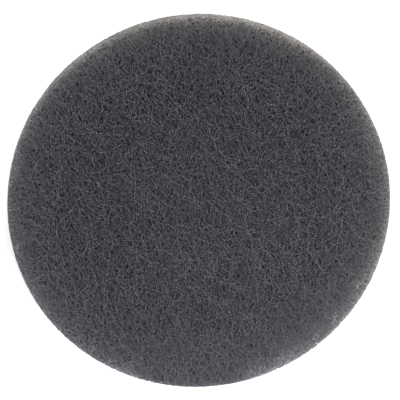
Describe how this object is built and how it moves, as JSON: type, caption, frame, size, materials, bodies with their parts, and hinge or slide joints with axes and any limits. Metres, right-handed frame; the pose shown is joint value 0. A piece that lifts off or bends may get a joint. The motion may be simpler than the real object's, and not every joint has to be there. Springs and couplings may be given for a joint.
{
  "type": "non-woven abrasive disc",
  "caption": "Round pad of crimped synthetic fibres bonded with grit-filled resin, for scuffing and cleaning a surface by hand or on a backing pad.",
  "frame": {"origin": "centre of the underside, in the plane that the disc lies on", "axes": "+Z is the disc's axis, from the underside to the upper face"},
  "size_m": [0.15, 0.1499, 0.008],
  "materials": {
    "web": "matt dark grey resin with mineral grit over crimped nylon fibres"
  },
  "bodies": {
    "root": {"abrasive_disc": "web"}
  },
  "joints": []
}
